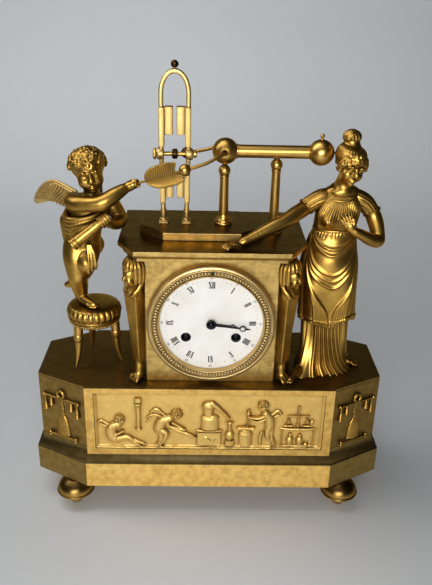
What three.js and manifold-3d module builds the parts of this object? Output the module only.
// Gilt bronze figure clock with a machine of spheres and columns on its case.
// Millimetres, +Z up, front of the clock towards -Y, origin on the floor under the middle.
import * as THREE from "three";
import { mergeVertices } from "three/addons/utils/BufferGeometryUtils.js";
import Module from "manifold-3d";

const wasm = await Module();
wasm.setup();

// Fits shared by every piece.
const seatGap = 0.3;
const runningGap = 0.25;

// Base: four turned feet, plinth with a hollow moulding, box and top plate.
const footHeight = 30;
const footRadius = 19;
const footFromEnd = 39;
const footFromFront = 15;
const plinthHeight = 28;
const hollowHeight = 16;
const hollowReach = 6.5;
const boxHeight = 66;
const boxWidth = 337;
const boxDepth = 116;
const cornerLong = 48.6;
const cornerShort = 26;
const baseWall = 5;
const baseTopThickness = 3;
const flangeThickness = 4;
const flangeWidth = 55;
const flangeDepth = 29;

// Raised frame and relief panel on the front of the base.
const frameStand = 3;
const frameBorder = 8.4;
const frameRail = 5.4;
const frameDrop = 7;
const panelThickness = 2;

// Case, cornice and the platform above it.
const caseFrontWidth = 122;
const caseFrontY = -45;
const caseDepth = 93;
const caseHeight = 128;
const caseCorner = 17;
const caseWall = 3;
const corniceHeight = 11;
const corniceReach = 7.6;
const corniceFrontReach = 15.3;
const corniceCornerX = 16;
const corniceCornerY = 25.8;
const corniceStep = 4.6;
const platformWidth = 115;
const platformX = -9.5;
const platformDepth = 65;
const platformY = 1;
const platformHeight = 8;
const platformCornerX = 22;
const platformCornerY = 19;

// Dial and bezel.
const bezelRadius = 60;
const bezelStand = 9;
const dialRise = 63.4;
const dialSightRadius = 48.4;
const dialRadius = 52.8;
const dialThickness = 2;
const dialDepth = 1;
const windingX = 23.5;
const windingDrop = 15.2;
const windingHole = 4.4;
const minuteReach = 37;
const hourReach = 25;
const handAngle = 97;
const handThickness = 0.8;

// Movement.
const plateRadius = 46;
const plateThickness = 2;
const platesApart = 38;
const motionSpace = 7;
const arborRadius = 1.2;
const pivotRadius = 0.8;
const greatTeeth = 30;
const pinionLeaves = 6;
const greatModule = 1.133;
const secondModule = 1.067;
const centreModule = 0.96;
const thirdModule = 0.88;
const motionModule = 0.75;
const barrelDepth = 21;
const escapeRadius = 9;
const escapeTeeth = 20;
const anchorRise = 12.6;
const pendulumLength = 125;
const bobRadius = 13;
const bellRadius = 28;
const rearHole = 51;
const doorRadius = 50;

// Electrical machine: arch with pads, axle, conductor on two columns.
const machineY = -3;
const archX = -35;
const archWidth = 28.4;
const archBand = 4.2;
const archDepth = 6;
const archHeight = 138.5;
const archRise = 21;
const axleRise = 64.5;
const axleRadius = 1.9;
const padGap = 3;
const padDepth = 7.4;
const conductorRise = 68;
const conductorRadius = 5.9;
const sphereRadius = 11.8;
const sphereLeftX = 10.3;
const sphereRightX = 96.6;
const columnLeftX = 10;
const columnRightX = 57;
const columnRadius = 4.1;
const columnFoot = 8.6;
const forkRadius = 1.6;
const collectorRadius = 5.3;
const collectorX = -25.3;
const collectorY = -34;
const collectorRise = 58;

// Stool and figures.
const stoolX = -114.5;
const stoolY = -5;
const stoolHeight = 64.5;
const stoolRadius = 26.5;
const cushionHeight = 15;
const womanX = 114;
const womanY = -6;

// Levels that follow from the sizes above.
const plinthTop = footHeight + plinthHeight;
const boxBottom = plinthTop + hollowHeight;
const boxTop = boxBottom + boxHeight;
const baseTop = boxTop + baseTopThickness;
const caseTop = baseTop + caseHeight;
const corniceTop = caseTop + corniceHeight;
const platformTop = corniceTop + platformHeight;
const dialZ = baseTop + dialRise;
const caseSide = caseFrontWidth / 2 + caseCorner;
const caseBackY = caseFrontY + caseDepth;
const boxFrontY = -boxDepth / 2;
const footX = boxWidth / 2 + hollowReach - footFromEnd;
const footY = boxDepth / 2 + hollowReach - footFromFront;

const gilt = { color: 0xb8883a, roughness: 0.35, metalness: 1 };
const brass = { color: 0xb59a52, roughness: 0.4, metalness: 1 };
const steel = { color: 0x2a2d33, roughness: 0.35, metalness: 1 };
const enamel = { color: 0xe8e4da, roughness: 0.2, metalness: 0 };

const clock = new THREE.Group();
clock.name = "figure_clock";

function add(name, geometry, finish = gilt) {
  const mesh = new THREE.Mesh(geometry, new THREE.MeshStandardMaterial(finish));
  mesh.name = name;
  clock.add(mesh);
}

// Welded triangles of a geometry, with the faces turned outwards.
function toSolid(geometry) {
  const bare = geometry.clone();
  bare.deleteAttribute("normal");
  bare.deleteAttribute("uv");
  const welded = mergeVertices(bare, 1e-4);
  const p = welded.attributes.position.array;
  const source = welded.index.array;
  const faces = [];
  let volume = 0;
  for (let i = 0; i < source.length; i += 3) {
    const [a, b, c] = [source[i], source[i + 1], source[i + 2]];
    if (a === b || b === c || c === a) continue;
    faces.push(a, b, c);
    const u = new THREE.Vector3().fromArray(p, 3 * a);
    const v = new THREE.Vector3().fromArray(p, 3 * b);
    const w = new THREE.Vector3().fromArray(p, 3 * c);
    volume += u.dot(v.cross(w));
  }
  if (volume < 0) faces.reverse();
  return new wasm.Manifold(new wasm.Mesh({
    numProp: 3,
    vertProperties: new Float32Array(p),
    triVerts: new Uint32Array(faces),
  }));
}

function toGeometry(body) {
  const mesh = body.getMesh();
  const geometry = new THREE.BufferGeometry();
  geometry.setAttribute("position", new THREE.Float32BufferAttribute(mesh.vertProperties, 3));
  geometry.setIndex(Array.from(mesh.triVerts));
  geometry.computeVertexNormals();
  return geometry;
}

const join = (...pieces) => toGeometry(pieces.map(toSolid).reduce((a, b) => a.add(b)));
const cut = (piece, ...tools) => toGeometry(tools.map(toSolid).reduce((a, b) => a.subtract(b), toSolid(piece)));
const overlap = (a, b) => toGeometry(toSolid(a).intersect(toSolid(b)));

// Box from its lowest to its highest corner.
function box(x0, y0, z0, x1, y1, z1) {
  const geometry = new THREE.BoxGeometry(x1 - x0, y1 - y0, z1 - z0);
  return geometry.translate((x0 + x1) / 2, (y0 + y1) / 2, (z0 + z1) / 2);
}

// Turned bodies: the profile lists radius and place along the axis.
function turned(profile, segments, axis, x = 0, y = 0, z = 0) {
  const points = profile.map(([r, h]) => new THREE.Vector2(r, h));
  const geometry = new THREE.LatheGeometry(points, segments);
  if (axis === "z") geometry.rotateX(Math.PI / 2);
  if (axis === "x") geometry.rotateZ(-Math.PI / 2);
  return geometry.translate(x, y, z);
}

const rod = (radius, from, to, axis, x, y, z, segments = 12) =>
  turned([[0, from], [radius, from], [radius, to], [0, to]], segments, axis, x, y, z);

const tube = (outer, inner, from, to, axis, x, y, z, segments = 16) =>
  turned([[inner, from], [outer, from], [outer, to], [inner, to], [inner, from]], segments, axis, x, y, z);

const ball = (radius, x, y, z, sides = 8) =>
  new THREE.SphereGeometry(radius, sides, 0.75 * sides).translate(x, y, z);
const egg = (x, y, z, rx, ry, rz) => new THREE.SphereGeometry(1, 10, 7).scale(rx, ry, rz).translate(x, y, z);

function shapeOf(points) {
  return new THREE.Shape(points.map(([x, y]) => new THREE.Vector2(x, y)));
}

// Flat shape in plan, raised from one level to another.
function slab(points, z0, z1) {
  const settings = { depth: z1 - z0, bevelEnabled: false };
  return new THREE.ExtrudeGeometry(shapeOf(points), settings).translate(0, 0, z0);
}

// Flat shape seen from the front, with its thickness between two depths.
function upright(points, yFront, yBack, x = 0, z = 0) {
  const settings = { depth: yBack - yFront, bevelEnabled: false };
  const geometry = new THREE.ExtrudeGeometry(shapeOf(points), settings);
  return geometry.rotateX(Math.PI / 2).translate(x, yBack, z);
}

// Skin through rings of equal point count, closed by a fan at each end.
function loft(rings) {
  const count = rings[0].length;
  const positions = rings.flat().flatMap((p) => [p.x, p.y, p.z]);
  const index = [];
  for (let i = 0; i + 1 < rings.length; i++) {
    for (let j = 0; j < count; j++) {
      const k = (j + 1) % count;
      const low = i * count;
      const high = low + count;
      index.push(low + j, low + k, high + k, low + j, high + k, high + j);
    }
  }
  for (const [ring, turn] of [[0, -1], [rings.length - 1, 1]]) {
    const middle = new THREE.Vector3();
    rings[ring].forEach((p) => middle.addScaledVector(p, 1 / count));
    const tip = positions.length / 3;
    positions.push(middle.x, middle.y, middle.z);
    for (let j = 0; j < count; j++) {
      const a = ring * count + j;
      const b = ring * count + ((j + 1) % count);
      index.push(...(turn > 0 ? [a, b, tip] : [b, a, tip]));
    }
  }
  const geometry = new THREE.BufferGeometry();
  geometry.setAttribute("position", new THREE.Float32BufferAttribute(positions, 3));
  geometry.setIndex(index);
  return geometry;
}

// Body of level oval sections: each row is x, y, z and the two half widths.
function column(sections, sides = 12) {
  return loft(sections.map(([x, y, z, rx, ry]) => Array.from({ length: sides }, (_, j) => {
    const a = (2 * Math.PI * j) / sides;
    return new THREE.Vector3(x + rx * Math.cos(a), y + ry * Math.sin(a), z);
  })));
}

// Round limb along points with a radius each, its ends rounded off.
function limb(path, sides = 8) {
  const points = path.map(([x, y, z]) => new THREE.Vector3(x, y, z));
  const last = points.length - 1;
  const rings = [];
  const ringAt = (centre, along, radius) => {
    const side = new THREE.Vector3(0.31, 0.17, 0.93).cross(along).normalize();
    const other = along.clone().cross(side);
    rings.push(Array.from({ length: sides }, (_, j) => {
      const a = (2 * Math.PI * j) / sides;
      const p = centre.clone().addScaledVector(side, radius * Math.cos(a));
      return p.addScaledVector(other, radius * Math.sin(a));
    }));
  };
  points.forEach((point, i) => {
    const along = points[Math.min(i + 1, last)].clone().sub(points[Math.max(i - 1, 0)]).normalize();
    const radius = path[i][3];
    if (i === 0) ringAt(point.clone().addScaledVector(along, -0.7 * radius), along, 0.6 * radius);
    ringAt(point, along, radius);
    if (i === last) ringAt(point.clone().addScaledVector(along, 0.7 * radius), along, 0.6 * radius);
  });
  return loft(rings);
}

const circle = (radius, segments = 24) => Array.from({ length: segments }, (_, j) => {
  const a = (2 * Math.PI * j) / segments;
  return [radius * Math.cos(a), radius * Math.sin(a)];
});

// Eight-sided outline with oblong corners, moved outwards evenly by an offset.
function cornered(halfX, front, back, longX, shortY, offset, rearCorners = true) {
  const slant = Math.hypot(longX, shortY);
  const x = halfX + offset;
  const inX = halfX - longX + (offset * shortY / slant) / (1 + longX / slant);
  const inY = shortY - offset + (offset * longX / slant) / (1 + shortY / slant);
  const rear = rearCorners
    ? [[x, back - inY], [inX, back + offset], [-inX, back + offset], [-x, back - inY]]
    : [[x, back + offset], [-x, back + offset]];
  return [[-x, front + inY], [-inX, front - offset], [inX, front - offset], [x, front + inY], ...rear];
}

const boxOutline = (offset) =>
  cornered(boxWidth / 2, boxFrontY, -boxFrontY, cornerLong, cornerShort, offset);
const levelRing = (outline, z) => outline.map(([x, y]) => new THREE.Vector3(x, y, z));

// Toothed wheel outline with V-shaped gaps: tooth centres start at the phase angle.
function toothed(teeth, module, phase) {
  const pitch = (2 * Math.PI) / teeth;
  const tip = module * (teeth / 2 + 0.7);
  const root = module * (teeth / 2 - 1.6);
  const points = [];
  for (let i = 0; i < teeth; i++) {
    for (const [r, share] of [[root, -0.5], [tip, -0.05], [tip, 0.05]]) {
      const a = phase + (i + share) * pitch;
      points.push([r * Math.cos(a), r * Math.sin(a)]);
    }
  }
  return points;
}

const wheel = (teeth, module, phase, yFront, yBack, at) =>
  upright(toothed(teeth, module, phase), yFront, yBack, at.x, dialZ + at.y);
const gapPhase = (from, to, teeth) => Math.atan2(from.y - to.y, from.x - to.x) + Math.PI / teeth;
const toothPhase = (from, to) => Math.atan2(to.y - from.y, to.x - from.x);
const spindle = (radius, yFront, yBack, at, segments = 6) =>
  rod(radius, yFront, yBack, "y", at.x, 0, dialZ + at.y, segments);

// Feet.
const footProfile = [
  [0, 0], [4.5, 0], [6, 2.5], [5, 7], [15.5, 13], [footRadius, 16], [footRadius, 18.5], [17.2, 21.5],
  [14.4, 25.4], [10.4, 28.6], [8.6, footHeight], [0, footHeight],
];
const feet = [["foot_front_left", -1, -1], ["foot_front_right", 1, -1], ["foot_rear_left", -1, 1],
  ["foot_rear_right", 1, 1]];
for (const [name, sideX, sideY] of feet) {
  add(name, turned(footProfile, 12, "z", sideX * footX, sideY * footY, 0));
}

// Plinth: plain band, then the hollow moulding in to the box, open underneath inside a flange.
const hollowRings = [0, 18, 36, 54, 72, 90].map((degrees) => {
  const a = THREE.MathUtils.degToRad(degrees);
  const z = plinthTop + hollowHeight * (1 - Math.cos(a));
  return levelRing(boxOutline(hollowReach * (1 - Math.sin(a))), z);
});
add("base_plinth", cut(
  loft([levelRing(boxOutline(hollowReach), footHeight), ...hollowRings]),
  slab(boxOutline(-baseWall), footHeight + flangeThickness, boxBottom + 1),
  box(flangeWidth - boxWidth / 2, flangeDepth + boxFrontY, footHeight - 1,
    boxWidth / 2 - flangeWidth, -boxFrontY - flangeDepth, footHeight + flangeThickness + 1),
));

// Box with the raised frame on its front; the panel lies in the frame.
const frameHalf = boxWidth / 2 - cornerLong;
const panelHalf = frameHalf - frameBorder;
const panelTop = baseTop - frameRail;
const frameFrontY = boxFrontY - frameStand;
add("base_box", cut(
  join(
    cut(slab(boxOutline(0), boxBottom, boxTop), slab(boxOutline(-baseWall), boxBottom - 1, boxTop + 1)),
    box(-frameHalf, frameFrontY, boxBottom, frameHalf, boxFrontY - seatGap, baseTop),
    box(-frameHalf, frameFrontY, boxBottom - frameDrop, frameHalf, boxFrontY - 1, boxBottom),
    box(1 - frameHalf, boxFrontY - 1, boxBottom + 1, frameHalf - 1, boxFrontY + 1, boxTop - 1),
  ),
  box(-panelHalf, frameFrontY - 1, boxBottom, panelHalf, boxFrontY + seatGap, panelTop),
));
add("frieze_panel", box(seatGap - panelHalf, boxFrontY - panelThickness, boxBottom + seatGap,
  panelHalf - seatGap, boxFrontY, panelTop - seatGap));

const pendulumY = caseFrontY + 61;
add("base_top_plate", cut(slab(boxOutline(0), boxTop, baseTop),
  box(-bobRadius * 1.8, pendulumY - 8, boxTop - 1, bobRadius * 1.8, pendulumY + 8, baseTop + 1)));

// Trophy of a bell jar under a bar with hanging bells, on each front corner face.
function trophy() {
  const pieces = [
    box(-17, -2.4, 4, 17, 0, 6.6),
    box(-1.1, -2, 26, 1.1, 0, 55),
    box(-20.5, -2, 46.6, 20.5, 0, 48.8),
    turned([[0, 6.4], [7, 6.4], [5.6, 17], [3, 28], [0, 30]], 8, "z", 0, -0.6, 0),
    rod(3, -1.6, 0, "y", 0, 0, 56, 10),
  ];
  for (const x of [-19, -12, 12, 19]) {
    pieces.push(box(x - 0.6, -1.4, 30, x + 0.6, 0, 48));
    pieces.push(box(x - 2.4, -2.2, 24, x + 2.4, 0, 30.5));
  }
  return cut(join(...pieces), box(-30, 0, 0, 30, 20, 70));
}
const cornerAngle = Math.atan2(cornerShort, cornerLong);
const cornerMidX = boxWidth / 2 - cornerLong / 2;
const cornerMidY = boxFrontY + cornerShort / 2;
for (const [name, side] of [["trophy_left", -1], ["trophy_right", 1]]) {
  const out = seatGap;
  add(name, trophy().rotateZ(side * cornerAngle).translate(
    side * (cornerMidX + out * Math.sin(cornerAngle)), cornerMidY - out * Math.cos(cornerAngle), boxBottom));
}

// Case: front plate with the dial opening, walls with the round opening behind.
const caseOutline = (offset) =>
  cornered(caseSide, caseFrontY, caseBackY, caseCorner, caseCorner, offset, false);
const caseSolid = slab(caseOutline(0), baseTop, caseTop);
const frontBack = caseFrontY + caseWall;
add("case_front", cut(
  overlap(caseSolid, box(-caseSide, caseFrontY - 1, baseTop - 1, caseSide, frontBack, caseTop + 1)),
  rod(dialRadius + 1, caseFrontY - 1, frontBack + 1, "y", 0, 0, dialZ, 36),
));
add("case_walls", cut(
  caseSolid,
  slab(caseOutline(-caseWall), baseTop - 1, caseTop + 1),
  box(-caseSide, caseFrontY - 1, baseTop - 1, caseSide, frontBack + seatGap, caseTop + 1),
  rod(rearHole, caseBackY - caseWall - 1, caseBackY + 1, "y", 0, 0, dialZ, 36),
));

// Cornice in two steps with a hollow between, then the platform.
const corniceFrontY = caseFrontY - corniceFrontReach;
const corniceOutline = (offset) => cornered(caseSide + corniceReach, corniceFrontY,
  caseBackY + corniceReach, corniceCornerX, corniceCornerY, offset, false);
const corniceSteps = [[-corniceStep, 0], [-corniceStep, 3], [-corniceStep + 1.4, 4.6], [-0.9, 6], [-0.9, 6.8],
  [0, 6.8], [0, corniceHeight]];
add("case_cornice", loft(corniceSteps.map(([offset, z]) => levelRing(corniceOutline(offset), caseTop + z))));
const platformFrontY = platformY - platformDepth / 2;
const platformOutline = (offset) => cornered(platformWidth / 2, platformFrontY,
  platformFrontY + platformDepth, platformCornerX, platformCornerY, offset);
add("machine_platform", loft([[0, 0], [0, platformHeight - 1], [-1, platformHeight]].map(
  ([offset, z]) => levelRing(platformOutline(offset), corniceTop + z))).translate(platformX, 0, 0));

// Herm on each front corner: paw, tapering shaft, bust and veiled head.
function herm() {
  const shaft = (rows) => loft(rows.map(([z, half, depth]) => [[-half, 0], [-half, -depth], [half, -depth],
    [half, 0]].map(([x, y]) => new THREE.Vector3(x, y, z))));
  const top = caseHeight - seatGap;
  const pieces = join(
    shaft([[0, 7, 12], [5, 7, 12], [6, 5.4, 9]]),
    column([[0, -7, 5, 5.2, 8], [0, -7, 9, 5.4, 8], [0, -4, 15, 4.4, 5]], 8),
    shaft([[12, 3.6, 6], [17, 4.4, 7], [84, 8.2, 8.6], [88, 8.8, 9]]),
    column([[0, -3.4, 87, 8.6, 6.4], [0, -4.4, 94, 9.4, 7.6], [0, -4, 101, 8.4, 6.4], [0, -3.4, 105, 5, 5]], 10),
    column([[0, -4.4, 103, 6, 5.5], [0, -5.4, 110, 9.4, 8], [0, -5.4, 118, 9.6, 8.4], [0, -4.4, top, 4.6, 5]], 10),
    ball(6, 0, -8, 114),
  );
  return cut(pieces, box(-20, -seatGap, -1, 20, 30, caseHeight + 1));
}
const hermX = caseSide - caseCorner / 2;
const hermY = caseFrontY + caseCorner / 2;
for (const [name, side] of [["herm_left", -1], ["herm_right", 1]]) {
  add(name, herm().rotateZ((side * Math.PI) / 4).translate(side * hermX, hermY, baseTop));
}

// Bezel, dial and hands.
const dialFrontY = caseFrontY - dialDepth;
const dialBackY = dialFrontY + dialThickness;
const bezelFrontY = caseFrontY - bezelStand;
const lipBack = dialFrontY - seatGap;
add("dial_bezel", turned([
  [dialSightRadius, lipBack], [dialSightRadius, lipBack - 2.6], [dialSightRadius + 1.8, bezelFrontY],
  [dialSightRadius + 3.4, bezelFrontY + 1.4], [bezelRadius - 3, bezelFrontY + 1.6],
  [bezelRadius, bezelFrontY + 4], [bezelRadius, caseFrontY - seatGap],
  [dialRadius + 0.6, caseFrontY - seatGap], [dialRadius + 0.6, lipBack], [dialSightRadius, lipBack],
], 36, "y", 0, 0, dialZ));

const centre = new THREE.Vector2(0, 0);
const goingAt = new THREE.Vector2(windingX, -windingDrop);
const strikeAt = new THREE.Vector2(-windingX, -windingDrop);
const frontPlateY = dialBackY + motionSpace;
const frontPlateBack = frontPlateY + plateThickness;
const backPlateY = frontPlateBack + platesApart;
const backPlateBack = backPlateY + plateThickness;
const pipeRadius = 1.8;
const hourPipeRadius = pipeRadius + 3 * runningGap;
const dialFeet = [90, 210, 330].map((degrees) => {
  const a = THREE.MathUtils.degToRad(degrees);
  const at = new THREE.Vector2(Math.cos(a), Math.sin(a)).multiplyScalar(plateRadius - 4);
  return spindle(1.2, dialBackY - 0.5, frontPlateY - seatGap, at);
});
add("dial", cut(
  join(spindle(dialRadius, dialFrontY, dialBackY, centre, 36), ...dialFeet),
  spindle(hourPipeRadius + 2 * runningGap, dialFrontY - 1, dialBackY + 1, centre, 16),
  spindle(windingHole, dialFrontY - 1, dialBackY + 1, goingAt, 16),
  spindle(windingHole, dialFrontY - 1, dialBackY + 1, strikeAt, 16),
), enamel);

// Hand with a round hub, a slim shaft, an open ring near the end and a leaf point.
function hand(reach, hub, bore, yFront) {
  const yBack = yFront + handThickness;
  const ringAt = 0.8 * reach;
  const ring = 0.085 * reach;
  const body = join(
    upright(circle(hub, 16), yFront, yBack),
    upright([[-1.1, 0], [1.1, 0], [0.7, ringAt - 0.8 * ring], [-0.7, ringAt - 0.8 * ring]], yFront, yBack),
    upright(circle(ring, 12), yFront, yBack, 0, ringAt),
    upright([[-1.1, ringAt + 0.8 * ring], [1.1, ringAt + 0.8 * ring], [0.2, reach], [-0.2, reach]], yFront, yBack),
  );
  const open = cut(body, upright(circle(0.66 * ring, 12), yFront - 1, yBack + 1, 0.12 * ring, ringAt),
    upright(circle(bore, 12), yFront - 1, yBack + 1));
  return open.rotateY(THREE.MathUtils.degToRad(handAngle)).translate(0, 0, dialZ);
}
const hourHandY = dialFrontY - 2.4;
const minuteHandY = hourHandY - handThickness - 1.2;
add("hour_hand", hand(hourReach, 4.2, hourPipeRadius + 0.1, hourHandY), steel);
add("minute_hand", hand(minuteReach, 4.7, pipeRadius + 0.1, minuteHandY), steel);

// Motion work between dial and front plate: eight on twenty-four, then six on twenty-four.
const motionArm = 16 * motionModule;
const hourModule = motionArm / 15;
const motionAt = new THREE.Vector2(0, -motionArm);
const lowLayer = frontPlateY - 2.2;
const highLayer = lowLayer - 2.4;
add("hour_wheel", cut(
  join(
    wheel(24, hourModule, toothPhase(centre, motionAt), highLayer, highLayer + 1.4, centre),
    spindle(hourPipeRadius, hourHandY - 0.3, highLayer + 0.5, centre, 16),
  ),
  spindle(pipeRadius + runningGap, hourHandY - 2, lowLayer, centre, 16),
), brass);
add("minute_wheel", join(
  wheel(24, motionModule, gapPhase(centre, motionAt, 24), lowLayer, lowLayer + 1.4, motionAt),
  wheel(6, hourModule, gapPhase(centre, motionAt, 6), highLayer - 0.3,
    lowLayer + 0.5, motionAt),
  spindle(pivotRadius, lowLayer + 1, frontPlateBack, motionAt),
), brass);

// Going train: barrel, second wheel, centre wheel, third wheel and escape wheel.
const besides = (a, ra, b, rb, side) => {
  const d = b.clone().sub(a);
  const along = (d.lengthSq() + ra * ra - rb * rb) / (2 * d.length());
  const across = side * Math.sqrt(ra * ra - along * along);
  d.normalize();
  return new THREE.Vector2(a.x + d.x * along - d.y * across, a.y + d.y * along + d.x * across);
};
const meshArm = (module) => (module * (greatTeeth + pinionLeaves)) / 2;
const secondAt = besides(centre, meshArm(secondModule), goingAt, meshArm(greatModule), -1);
const thirdAt = new THREE.Vector2(-0.5, Math.sqrt(0.75)).multiplyScalar(meshArm(centreModule));
const escapeAt = new THREE.Vector2(0, thirdAt.y + Math.sqrt(meshArm(thirdModule) ** 2 - thirdAt.x ** 2));
const anchorAt = new THREE.Vector2(0, escapeAt.y + anchorRise);
const strikeSecondAt = new THREE.Vector2(-0.17, 0.985).multiplyScalar(meshArm(greatModule)).add(strikeAt);
const barrelFront = frontPlateBack + 2;
const barrelBack = barrelFront + barrelDepth;
const greatBack = barrelBack + 2;
const barrelRadius = greatModule * (greatTeeth / 2 - 1.8);
const arborSpan = (at) => [
  spindle(arborRadius, frontPlateBack + runningGap, backPlateY - runningGap, at),
  spindle(pivotRadius, frontPlateY + 0.2, backPlateBack - 0.2, at),
];

function barrel(at, phase) {
  return cut(
    join(spindle(barrelRadius, barrelFront, barrelBack, at, 24), wheel(greatTeeth, greatModule, phase,
      barrelBack, greatBack, at)),
    spindle(2.2 + runningGap, barrelFront - 1, greatBack + 1, at, 8),
  );
}
add("going_barrel", barrel(goingAt, toothPhase(goingAt, secondAt)), brass);
add("strike_barrel", barrel(strikeAt, toothPhase(strikeAt, strikeSecondAt)), brass);

// Winding arbor: square end behind the dial hole, ratchet before the plate, pivots at both plates.
function windingArbor(at) {
  const square = 1.7;
  return join(
    spindle(2, frontPlateY - 1, backPlateY - runningGap, at, 8),
    spindle(arborRadius, backPlateY - 1, backPlateBack - 0.2, at),
    upright([[-square, -square], [square, -square], [square, square], [-square, square]],
      dialFrontY + 0.4, frontPlateY - 0.5, at.x, dialZ + at.y),
    wheel(14, 0.7, 0, frontPlateY - 1.7, frontPlateY - runningGap, at),
  );
}
add("going_winding_arbor", windingArbor(goingAt), steel);
add("strike_winding_arbor", windingArbor(strikeAt), steel);

const secondBack = backPlateY - 8.5;
const centreBack = backPlateY - 4.5;
add("second_wheel", join(
  ...arborSpan(secondAt),
  wheel(pinionLeaves, greatModule, gapPhase(goingAt, secondAt, pinionLeaves), barrelBack - 1, greatBack + 1, secondAt),
  wheel(greatTeeth, secondModule, gapPhase(centre, secondAt, greatTeeth), secondBack - 1.5, secondBack, secondAt),
), brass);
add("centre_wheel", join(
  spindle(pipeRadius, minuteHandY - 1, lowLayer + 1, centre, 16),
  spindle(arborRadius, lowLayer, backPlateY - runningGap, centre),
  spindle(pivotRadius, backPlateY - 1, backPlateBack - 0.2, centre),
  wheel(8, motionModule, toothPhase(centre, motionAt), lowLayer - 0.4, lowLayer + 1.6, centre),
  wheel(pinionLeaves, secondModule, toothPhase(centre, secondAt), secondBack - 2.5, secondBack + 1, centre),
  wheel(greatTeeth, centreModule, toothPhase(centre, thirdAt), centreBack - 1.5, centreBack, centre),
), brass);
const thirdBack = backPlateY - 19.5;
add("third_wheel", join(
  ...arborSpan(thirdAt),
  wheel(pinionLeaves, centreModule, gapPhase(centre, thirdAt, pinionLeaves), centreBack - 2.5, centreBack + 1, thirdAt),
  wheel(greatTeeth, thirdModule, toothPhase(thirdAt, escapeAt), thirdBack - 1.5, thirdBack, thirdAt),
), brass);

const escapeBack = backPlateY - 3;
const escapeOutline = Array.from({ length: escapeTeeth }, (_, i) => [[0.76, -0.4], [1, 0], [0.76, 0.1]].map(
  ([share, turn]) => {
    const a = ((i + turn + 0.5) * 2 * Math.PI) / escapeTeeth + Math.PI / 4;
    return [escapeRadius * share * Math.cos(a), escapeRadius * share * Math.sin(a)];
  })).flat();
add("escape_wheel", join(
  ...arborSpan(escapeAt),
  wheel(pinionLeaves, thirdModule, gapPhase(thirdAt, escapeAt, pinionLeaves), thirdBack - 2.5, thirdBack + 1, escapeAt),
  upright(escapeOutline, escapeBack - 1.2, escapeBack, escapeAt.x, dialZ + escapeAt.y),
), brass);

// Anchor over the escape wheel, with the crutch behind the back plate.
const sector = (r0, r1, from, to, steps) => {
  const at = (r, k) => {
    const a = THREE.MathUtils.degToRad(from + ((to - from) * k) / steps);
    return [r * Math.cos(a), r * Math.sin(a)];
  };
  const ks = Array.from({ length: steps + 1 }, (_, k) => k);
  return [...ks.map((k) => at(r1, k)), ...ks.reverse().map((k) => at(r0, k))];
};
const atEscape = (points) => upright(points, escapeBack - 1.2, escapeBack, 0, dialZ + escapeAt.y);
const crutchY = backPlateBack + 3;
const forkZ = dialZ - 4;
const suspensionAt = anchorAt.y + 3;
const rodRadius = 1.2;
const prong = rodRadius + 1.1;
add("anchor", join(
  spindle(arborRadius, backPlateY - 8, crutchY + 1.5, anchorAt),
  spindle(pivotRadius, frontPlateY + 0.2, backPlateY, anchorAt),
  atEscape(sector(escapeRadius + 0.9, escapeRadius + 3, 42, 138, 12)),
  atEscape(sector(escapeRadius + 0.25, escapeRadius + 2, 42.5, 47.5, 1)),
  atEscape(sector(escapeRadius + 0.25, escapeRadius + 2, 132.5, 137.5, 1)),
  atEscape([[-1.6, escapeRadius + 1.5], [1.6, escapeRadius + 1.5], [1.6, anchorRise], [-1.6, anchorRise]]),
  box(-0.8, crutchY, forkZ, 0.8, crutchY + 1.5, dialZ + anchorAt.y),
  box(-prong - 0.8, crutchY, forkZ - 1, prong + 0.8, crutchY + 1.5, forkZ + 1),
  box(-prong - 0.8, crutchY + 1, forkZ - 1, -prong, pendulumY + 3, forkZ + 1),
  box(prong, crutchY + 1, forkZ - 1, prong + 0.8, pendulumY + 3, forkZ + 1),
), steel);

// Strike side: the wheel whose arbor carries the count wheel behind the plate.
const countFront = backPlateBack + 2;
const countOutline = Array.from({ length: 12 }, (_, i) => [[14, 0.06], [14, 0.94], [12.4, 0.95], [12.4, 1.05]].map(
  ([r, turn]) => {
    const a = ((i + turn) * Math.PI) / 6;
    return [r * Math.cos(a), r * Math.sin(a)];
  })).flat();
add("count_wheel", join(
  ...arborSpan(strikeSecondAt),
  spindle(pivotRadius, backPlateY, countFront + 2.5, strikeSecondAt),
  wheel(pinionLeaves, greatModule, gapPhase(strikeAt, strikeSecondAt, pinionLeaves), barrelBack - 1, greatBack + 1,
    strikeSecondAt),
  wheel(18, centreModule, 0, secondBack + 1, secondBack + 2.5, strikeSecondAt),
  upright(countOutline, countFront, countFront + 1.5, strikeSecondAt.x, dialZ + strikeSecondAt.y),
), brass);

// Plates: pillars belong to the front one, bell post and suspension cock to the back one.
const bellAt = new THREE.Vector2(12, -10);
const bellFront = pendulumY + 5;
const bellDepth = 17;
const hammerAt = new THREE.Vector2(-30, -25);
const pillars = [[34.6, 20], [-34.6, 20], [12, -40], [-12, -40]].map(([x, y]) => new THREE.Vector2(x, y));
const hole = (radius, yFront, at, segments = 6) =>
  spindle(radius, yFront - 1, yFront + plateThickness + 1, at, segments);
const pivotHole = (pivotRadius + runningGap) / Math.cos(Math.PI / 6);
add("movement_front_plate", cut(
  join(spindle(plateRadius, frontPlateY, frontPlateBack, centre, 24),
    ...pillars.map((at) => spindle(2.5, frontPlateBack - 1, backPlateY - seatGap, at, 8))),
  hole(pipeRadius + runningGap, frontPlateY, centre, 16),
  ...[goingAt, strikeAt].map((at) => hole(2.2 + runningGap, frontPlateY, at, 8)),
  ...[secondAt, thirdAt, escapeAt, anchorAt, strikeSecondAt, motionAt].map((at) => hole(pivotHole, frontPlateY, at)),
), brass);
const cockTop = dialZ + suspensionAt + 4;
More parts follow.
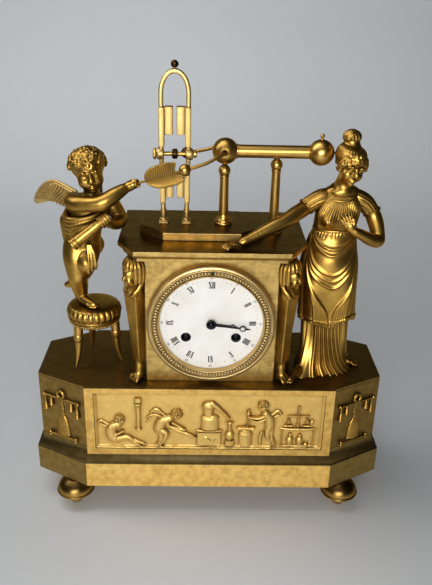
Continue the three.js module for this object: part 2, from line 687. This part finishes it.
add("movement_back_plate", join(
  cut(
    spindle(plateRadius, backPlateY, backPlateBack, centre, 24),
    hole(pivotHole, backPlateY, centre),
    ...[goingAt, strikeAt, anchorAt].map((at) => hole((arborRadius + runningGap) / Math.cos(Math.PI / 6), backPlateY, at)),
    ...[secondAt, thirdAt, escapeAt, strikeSecondAt, hammerAt].map((at) => hole(pivotHole, backPlateY, at)),
  ),
  box(-5, backPlateBack - 0.5, dialZ + suspensionAt - 3.5, -2.4, pendulumY + 3, cockTop),
  box(2.4, backPlateBack - 0.5, dialZ + suspensionAt - 3.5, 5, pendulumY + 3, cockTop),
  box(-5, backPlateBack - 0.5, cockTop - 1.6, 5, pendulumY + 3, cockTop),
  spindle(3, backPlateBack - 1, bellFront + bellDepth - 4, bellAt, 8),
  spindle(1.8, bellFront + bellDepth - 5, bellFront + bellDepth + 4, bellAt, 8),
), brass);
add("pendulum", join(
  rod(rodRadius, suspensionAt + 1.6 - pendulumLength - bobRadius - 4, suspensionAt + 1.6, "z", 0, pendulumY, dialZ, 8),
  box(-1.6, pendulumY - 1.6, dialZ + suspensionAt - 2, 1.6, pendulumY + 1.6, dialZ + suspensionAt + 1.6),
  turned([[0, -3.5], [3, -3.4], [8, -2.4], [bobRadius, -0.4], [bobRadius, 0.4], [8, 2.4], [3, 3.4], [0, 3.5]], 14, "y",
    0, pendulumY, dialZ + suspensionAt - pendulumLength),
), brass);
const bellBack = bellFront + bellDepth;
add("bell", turned([
  [bellRadius, bellFront], [bellRadius - 2, bellFront + 8], [15, bellBack - 2], [5, bellBack], [2.1, bellBack],
  [2.1, bellBack - 1.6], [14, bellBack - 3.6], [bellRadius - 3.4, bellFront + 7.4], [bellRadius - 1.5, bellFront],
  [bellRadius, bellFront],
], 18, "y", bellAt.x, 0, dialZ + bellAt.y), brass);
const hammerHead = 3.2;
const hammerY = bellFront + 3;
add("bell_hammer", join(
  spindle(pivotRadius, backPlateY + 0.2, backPlateBack + 1, hammerAt),
  spindle(arborRadius, backPlateBack + runningGap, hammerY + 2, hammerAt),
  limb([[hammerAt.x, hammerY, dialZ + hammerAt.y, 1.1],
    [bellAt.x - bellRadius - hammerHead - 0.4, hammerY, dialZ + bellAt.y, 1.1]], 8),
  ball(hammerHead, bellAt.x - bellRadius - hammerHead - 0.4, hammerY, dialZ + bellAt.y),
), steel);
for (const [name, side] of [["strap_left", -1], ["strap_right", 1]]) {
  const inner = plateRadius + seatGap;
  add(name, box(Math.min(side * inner, side * (inner + 3)), frontPlateY, dialZ - 4,
    Math.max(side * inner, side * (inner + 3)), caseBackY - seatGap, dialZ + 4), brass);
}

// Rear ring with hinge knuckles and pin, and the round door that swings on it.
const ringFront = caseBackY;
const ringBack = ringFront + 3;
const hingeX = -(doorRadius + 5);
const hingeY = ringBack + 2.5;
const knuckle = 2.2;
const hingeHalf = 5;
add("rear_ring", join(
  tube(rearHole + 5, 45, ringFront, ringBack, "y", 0, 0, dialZ, 24),
  ...[-1, 1].flatMap((side) => {
    const z0 = dialZ + (side > 0 ? hingeHalf + seatGap : -hingeHalf - seatGap - 4);
    return [rod(knuckle, z0, z0 + 4, "z", hingeX, hingeY, 0),
      box(hingeX - 1.4, ringBack - 1.5, z0, hingeX + 1.4, hingeY, z0 + 4)];
  }),
  rod(0.9, dialZ - hingeHalf - 2, dialZ + hingeHalf + 2, "z", hingeX, hingeY, 0, 8),
));
add("rear_door", cut(
  join(
    turned([[0, ringBack + seatGap], [doorRadius, ringBack + seatGap], [doorRadius, ringBack + 1.6],
      [doorRadius - 3, ringBack + 2.6], [0, ringBack + 2.2]], 24, "y", 0, 0, dialZ),
    rod(knuckle, dialZ - hingeHalf, dialZ + hingeHalf, "z", hingeX, hingeY, 0),
    box(hingeX, ringBack + seatGap, dialZ - hingeHalf, 5 - doorRadius, ringBack + 1.6, dialZ + hingeHalf),
    ball(2.2, doorRadius - 5, ringBack + 3, dialZ),
  ),
  rod(0.9 + runningGap, dialZ - hingeHalf - 1, dialZ + hingeHalf + 1, "z", hingeX, hingeY, 0, 8),
));

// Arch of the machine on two pedestals, with bearings for the axle and a ball on top.
const archFrontY = machineY - archDepth / 2;
const archBackY = machineY + archDepth / 2;
const archOuter = archWidth / 2;
const archInner = archOuter - archBand;
const springZ = archHeight - archRise;
const axleZ = platformTop + axleRise;
const bow = (half, rise, steps) => Array.from({ length: steps + 1 }, (_, k) => {
  const a = (Math.PI * k) / steps;
  return [half * Math.cos(a), springZ + rise * Math.sin(a)];
});
const archPiece = upright([[archOuter, 3], ...bow(archOuter, archRise, 10), [-archOuter, 3], [-archInner, 3],
  ...bow(archInner, archRise - archBand, 10).reverse(), [archInner, 3]], archFrontY, archBackY, archX, platformTop);
const pedestals = [-1, 1].flatMap((side) => {
  const x = archX + side * (archOuter - archBand / 2);
  return [box(x - 4.4, machineY - 6, platformTop, x + 4.4, machineY + 6, platformTop + 3),
    box(x - 3.4, machineY - 5, platformTop + 2, x + 3.4, machineY + 5, platformTop + 6)];
});
const hubs = [-1, 1].map((side) => {
  const face = side * archInner;
  const end = side * (archOuter + 2.2);
  return rod(5.4, Math.min(face, end), Math.max(face, end), "x", archX, machineY, axleZ, 10);
});
add("machine_arch", cut(
  join(archPiece, ...pedestals, ...hubs, ball(3.4, archX, machineY, platformTop + archHeight + 3.6),
    rod(1.6, archHeight - 2, archHeight + 2, "z", archX, machineY, platformTop, 10)),
  rod(axleRadius + runningGap, -archWidth, archWidth, "x", archX, machineY, axleZ, 12),
));

// Pads face each other across the gap where a disc would turn; each pair hangs on one strip.
function padStrip(side) {
  const face = archInner - seatGap;
  const front = archDepth / 2 + seatGap;
  const along = (x0, y0, z0, x1, y1, z1) =>
    box(archX + Math.min(side * x0, side * x1), machineY + y0, platformTop + z0,
      archX + Math.max(side * x0, side * x1), machineY + y1, platformTop + z1);
  return cut(
    join(
      along(face - 2, -front - 1.2, 20, face, 3, 106),
      along(face - 2, -front - 1.2, 79.4, archOuter - 2.2, -front, 105.4),
      along(face - 2, -front - 1.2, 20, archOuter - 2.2, -front, 46),
      along(padGap / 2, -padDepth / 2, 82, face - 1.5, padDepth / 2, 106),
      along(padGap / 2, -padDepth / 2, 24.6, face - 1.5, padDepth / 2, 46),
    ),
    rod(axleRadius + runningGap, -archWidth, archWidth, "x", archX, machineY, axleZ, 12),
  );
}
add("pad_strip_left", padStrip(-1));
add("pad_strip_right", padStrip(1));
const axleHalf = archOuter + 5.6;
add("machine_axle", turned([
  [0, -axleHalf], [3, -axleHalf], [5.2, 1 - axleHalf], [5.2, 2.6 - axleHalf], [axleRadius, 3.2 - axleHalf],
  [axleRadius, -2.4], [4.6, -1.8], [4.6, 1.8], [axleRadius, 2.4], [axleRadius, axleHalf - 3.2], [3.4, axleHalf - 3],
  [3.4, axleHalf - 0.6], [2.6, axleHalf], [0, axleHalf],
], 12, "x", archX, machineY, axleZ));

// Prime conductor lying on two columns, with the forked collector through its left sphere.
const conductorZ = platformTop + conductorRise;
const bulge = (x, from, to, steps) => Array.from({ length: steps + 1 }, (_, k) => {
  const a = THREE.MathUtils.degToRad(from + ((to - from) * k) / steps);
  return [sphereRadius * Math.sin(a), x - sphereRadius * Math.cos(a)];
});
const joinAngle = THREE.MathUtils.radToDeg(Math.asin(conductorRadius / sphereRadius));
const forkX = sphereLeftX - 1;
const wireZ = conductorZ + 1;
const forkBore = rod(forkRadius + runningGap, machineY - 2 * sphereRadius, machineY + 2 * sphereRadius, "y", forkX, 0,
  wireZ, 10);
add("conductor", cut(
  join(
    turned([...bulge(sphereLeftX, 0, 180 - joinAngle, 5), ...bulge(sphereRightX, joinAngle, 180, 5)], 14, "x",
      0, machineY, conductorZ),
    rod(1.2, sphereRadius - 1, sphereRadius + 2, "z", sphereRightX, machineY, conductorZ, 8),
    ball(2.1, sphereRightX, machineY, conductorZ + sphereRadius + 3),
    rod(1, sphereRightX + sphereRadius - 1, sphereRightX + sphereRadius + 2.2, "x", 0, machineY, conductorZ, 8),
    ball(1.7, sphereRightX + sphereRadius + 2.2, machineY, conductorZ),
  ),
  forkBore,
));
const collectorZ = platformTop + collectorRise;
const forkPath = (side) => new THREE.CatmullRomCurve3([
  new THREE.Vector3(forkX, machineY, wireZ),
  new THREE.Vector3(forkX, machineY + side * 7, wireZ),
  new THREE.Vector3(forkX, machineY + side * 14, wireZ),
  new THREE.Vector3(forkX - 6, machineY + side * 20, wireZ - 2),
  new THREE.Vector3(0.5 * (forkX + collectorX), machineY + side * 26, 0.4 * wireZ + 0.6 * collectorZ),
  new THREE.Vector3(collectorX, machineY + side * (machineY - collectorY), collectorZ),
]);
const wire = (path) => new THREE.ExtrudeGeometry(shapeOf(circle(forkRadius, 6)),
  { steps: 8, bevelEnabled: false, extrudePath: path });
const collectorBackY = 2 * machineY - collectorY;
add("collector_fork", join(
  wire(forkPath(-1)),
  wire(forkPath(1)),
  ball(forkRadius, forkX, machineY, wireZ),
  ball(collectorRadius, collectorX, collectorY, collectorZ, 8),
  ball(collectorRadius, collectorX, collectorBackY, collectorZ, 8),
));
function conductorColumn(x, bottom, top) {
  const h = top - bottom - seatGap;
  return turned([
    [0, 0], [columnFoot, 0], [columnFoot, 1.8], [columnFoot - 1.4, 4], [5.4, 6], [columnRadius, 7.4], [columnRadius, h - 9], [4.6, h - 4.6],
    [3.8, h - 1.8], [2.4, h - 0.9], [2.4, h], [0, h],
  ], 12, "z", x, machineY, bottom);
}
const sag = Math.sqrt(sphereRadius ** 2 - (Math.abs(columnLeftX - sphereLeftX) + 2.4) ** 2);
add("column_left", conductorColumn(columnLeftX, platformTop, conductorZ - Math.max(sag, 0) - 0.6));
add("column_right", conductorColumn(columnRightX, corniceTop, conductorZ - conductorRadius));

// Stool: three horn legs under a rim, with a padded top.
const stoolTop = baseTop + stoolHeight;
const rimTop = stoolTop - cushionHeight;
const rimBottom = rimTop - 5;
const horn = (degrees) => {
  const a = THREE.MathUtils.degToRad(degrees);
  const h = rimBottom - baseTop;
  const rows = [[0.78, h + 1, 4.6], [0.8, 0.8 * h, 4.4], [0.8, 0.55 * h, 3.7], [0.87, 0.28 * h, 2.6],
    [1, 2, 1.4]];
  return limb(rows.map(([share, z, r]) => [stoolX + share * stoolRadius * Math.cos(a),
    stoolY + share * stoolRadius * Math.sin(a), baseTop + z, r]), 7);
};
add("stool_frame", cut(
  join(
    rod(stoolRadius - 1.5, rimBottom, rimTop, "z", stoolX, stoolY, 0, 18),
    ...[228, 348, 108].map(horn),
  ),
  box(stoolX - 60, stoolY - 60, baseTop - 10, stoolX + 60, stoolY + 60, baseTop + seatGap),
  box(stoolX - 60, stoolY - 60, rimTop, stoolX + 60, stoolY + 60, rimTop + 10),
));
add("stool_cushion", turned([
  [0, rimTop + seatGap], [stoolRadius - 2, rimTop + seatGap], [stoolRadius, rimTop + 3],
  [stoolRadius, stoolTop - 6], [stoolRadius - 2.4, stoolTop - 2.4], [stoolRadius - 8, stoolTop - 0.4],
  [0, stoolTop],
], 18, "z", stoolX, stoolY, 0));

// Cupid, placed from the middle of the stool top.
const fromStool = (rows) => rows.map(([x, y, z, ...rest]) => [stoolX + x, stoolY + y, stoolTop + z, ...rest]);
const cupidLimb = (rows, sides = 6) => limb(fromStool(rows), sides);
const fist = new THREE.Vector3(stoolX + 42.5, stoolY - 12, stoolTop + 122);
const frontBall = new THREE.Vector3(collectorX, collectorY, collectorZ);
const arrowAlong = frontBall.clone().sub(fist).normalize();
const arrowTail = fist.clone().addScaledVector(arrowAlong, -9);
const arrowHead = frontBall.clone().addScaledVector(arrowAlong, -collectorRadius - seatGap);
const arrowRadius = 1.1;
const leafTurn = 1.25;
const alongArrow = (geometry) => geometry.applyQuaternion(
  new THREE.Quaternion().setFromUnitVectors(new THREE.Vector3(0, 0, 1), arrowAlong));
const arrowLength = arrowHead.distanceTo(arrowTail);
const leaf = loft([[0.4, 1.2], [0.48, 6], [0.66, 8.6], [0.86, 8], [0.96, 2]].map(([share, half]) =>
  [[-half, 0], [0, -0.9], [half, 0], [0, 0.9]].map(([x, y]) => new THREE.Vector3(x, y, share * arrowLength))));
add("arrow", alongArrow(join(rod(arrowRadius, 0, arrowLength, "z", 0, 0, 0, 8), leaf.rotateZ(leafTurn))).translate(
  ...arrowTail.toArray()));

const quiverMouth = [-11, -31, 71];
const quiverTail = [21, -22, 95.5];
const cupidBody = join(
  column(fromStool([[-6, 1, 44, 13, 10], [-6.5, 1, 53, 18, 14], [-5.5, 0, 64, 17.5, 15], [-3, -2, 76, 17, 15],
    [0, -3, 88, 17, 13.5], [3, -2, 97.5, 20, 12.5], [4, -1, 104.5, 18, 11], [4, -2, 109.5, 9, 8.5]])),
  cupidLimb([[4, -3, 106.5, 7], [3.6, -4, 117, 7]]),
  egg(stoolX + 2.6, stoolY - 6, stoolTop + 131.5, 16, 17, 17.5),
  egg(stoolX + 2, stoolY - 3, stoolTop + 136.5, 18, 18, 17.5),
  cupidLimb([[-14, 1, 54, 12], [-15, -4, 41, 10], [-14.8, -7, 29, 8], [-13.6, -3, 16.5, 7], [-11.4, -1.6, 7.5, 4.6]]),
  cupidLimb([[-12.5, 1, 4.4, 3.6], [-6, -7, 4, 4], [5.4, -15, 3.4, 2.6]]),
  cupidLimb([[1, 1, 54, 12], [1, -7, 43, 10], [1, -11, 34, 8], [-6, 0, 26, 7], [-15, 12.5, 16.5, 4.6],
    [-25, 18, 11, 3.2]]),
  cupidLimb([[-20, 6, 83, 4.5], [-17, -10, 79, 4.6], [-5, -17, 71, 4.6], [8, -14, 66, 4.4]], 6),
  cupidLimb([[-20, 0, 82, 6], [-24.4, 0, 63, 5.5], [-22, 2, 47, 3.6]], 6),
  cupidLimb([[-4, -16, 69, 5.6], [-5, -15.5, 55, 4.6], [-6, -12.5, 41, 3.6]], 6),
  cupidLimb([[-11.5, -5, 102.5, 9], [-9, -9, 102.5, 8.4]]),
  cupidLimb([[19, -1, 99.5, 8.4], [20.5, -1, 97.5, 8]]),
);
const armCut = (x, y, z, radius) => ball(radius, stoolX + x, stoolY + y, stoolTop + z, 12);
add("cupid_body", cut(cupidBody, box(stoolX - 60, stoolY - 60, stoolTop - 30, stoolX + 60, stoolY + 60,
  stoolTop + seatGap)));
const gripBore = alongArrow(rod(arrowRadius + seatGap, -60, 60, "z", 0, 0, 0, 8)).translate(...fist.toArray());
add("cupid_right_arm", cut(
  join(
    cupidLimb([[-12, -16, 102.5, 8.2], [2, -23, 104, 7.4], [17, -25, 108.5, 7.2], [28, -19, 115.5, 6.2],
      [37, -13.5, 120, 4.4]]),
    limb([[fist.x - 3, fist.y, fist.z - 1, 5.2], [fist.x + 2.4, fist.y, fist.z + 1, 5]]),
  ),
  armCut(-11, -7, 102.5, 11),
  gripBore,
));
add("cupid_left_arm", cut(
  join(
    cupidLimb([[24, -2, 97.5, 7.8], [28, -0.6, 88.5, 7], [30, 0, 82.5, 6.8], [26.5, -9, 85, 6], [20.4, -19, 87.5, 4.4]]),
    cupidLimb([[19, -21, 88.5, 5.2], [16, -23.4, 87.5, 4.8]]),
    cupidLimb([[...quiverTail, 4.6], [10, -25, 87, 6.2], [-3, -28.6, 77, 6.4], [...quiverMouth, 6.6]], 12),
  ),
  armCut(19.5, -1, 98.5, 9.4),
));

// Feathered wing, flat, growing from the shoulder blade; spread is sideways, sweep is backwards.
function wing(spread, sweep) {
  const rows = [[0, -7, 7, 3], [7, -6, 13, 3.4], [14, -9, 16, 3], [24, -8, 12, 2.6], [33, -3, 7, 2], [38.5, -1, 3, 1.2]];
  const reach = Math.hypot(spread, sweep);
  return join(loft(rows.map(([along, low, high, depth]) => [[0, low], [depth, 0.5 * (low + high)], [0, high],
    [-depth, 0.5 * (low + high)]].map(([out, z]) => new THREE.Vector3(spread * along + (sweep / reach) * out,
    sweep * along - (spread / reach) * out, z)))));
}
add("cupid_right_wing", wing(-1.08, 0.28).translate(stoolX - 12, stoolY + 7.8, stoolTop + 102.5));
add("cupid_left_wing", wing(-0.1, 1).translate(stoolX + 8, stoolY + 10.9, stoolTop + 102.5));

// Woman, placed from the point on the base under her.
const fromWoman = (rows) => rows.map(([x, y, z, ...rest]) => [womanX + x, womanY + y, baseTop + z, ...rest]);
const womanLimb = (rows, sides = 6) => limb(fromWoman(rows), sides);
const rightSleeve = [-28, -5, 166.5];
const leftSleeve = [33, -2, 162];
const womanBody = join(
  column(fromWoman([[1, -1, 0, 25, 21], [0, -1, 20, 23, 18.5], [-1, -1, 46, 23.5, 17.5], [-1, 0, 66, 25, 18.5]]), 14),
  column(fromWoman([[0, -1, 54, 26.5, 20], [-1, 0, 84, 27, 20.5], [-2, 0, 108, 28.5, 21], [-1.4, 0, 128, 25.5, 18.5],
    [0, -1, 146, 22, 15.5], [1, -4, 158, 22, 17], [2.5, -2, 170, 22, 13], [4, 0, 180, 19, 9.5], [4.4, 0, 186, 9, 8]]), 14),
  womanLimb([[4, -1, 182, 7.6], [6, -5, 196, 6.8]]),
  egg(womanX + 7.5, womanY - 9, baseTop + 205, 12.5, 14, 16),
  egg(womanX + 12.5, womanY - 2, baseTop + 209, 17, 16, 15),
  egg(womanX + 9, womanY + 2, baseTop + 231, 8.6, 8.6, 6.4),
  womanLimb([[9, 1, 220, 7], [9, 2, 228, 6.4]]),
  womanLimb([[-16, 0, 176, 10], [-22, -2.6, 171.5, 9.6], [...rightSleeve, 9]]),
  womanLimb([[22, 0, 174, 10], [29, -1, 168, 9.6], [...leftSleeve, 9]]),
  womanLimb([[-16, -11, 3.8, 3.8], [-32, -26, 2.8, 3]], 6),
  womanLimb([[16, -1, 3.8, 3.8], [28, -2, 2.8, 3]], 6),
);
add("woman_body", cut(womanBody, box(womanX - 60, womanY - 60, baseTop - 30, womanX + 60, womanY + 60,
  baseTop + seatGap)));

// Her right hand lies on the cornice; her left one is laid on the breast.
const palm = [22, corniceFrontY + 13, corniceTop + 3.4];
const sleeveAt = fromWoman([rightSleeve])[0];
const elbow = [65, -27, 0.5 * (sleeveAt[2] + palm[2]) + 3.6];
const step = (from, to, share) => from.map((v, i) => v + share * (to[i] - v));
const armStart = step(sleeveAt, elbow, 0.56);
add("woman_right_arm", join(
  limb([[...armStart, 6.6], [...elbow, 6.2], [...step(elbow, palm, 0.4), 5.6], [...step(elbow, palm, 0.86), 3.8]]),
  limb([[...step(elbow, palm, 0.84), 3.4], [...palm, 3.1], [palm[0] - 6, palm[1] - 2, palm[2] - 0.6, 2.4]]),
));
add("woman_left_arm", join(
  womanLimb([[37.6, -4.2, 150.6, 6.8], [41, -8, 136, 6.2], [30, -17.6, 141, 5.6], [13.6, -24.2, 150.6, 3.8]]),
  womanLimb([[11.4, -25.2, 153, 3.6], [4, -25.6, 163.4, 3]]),
));

export default clock;
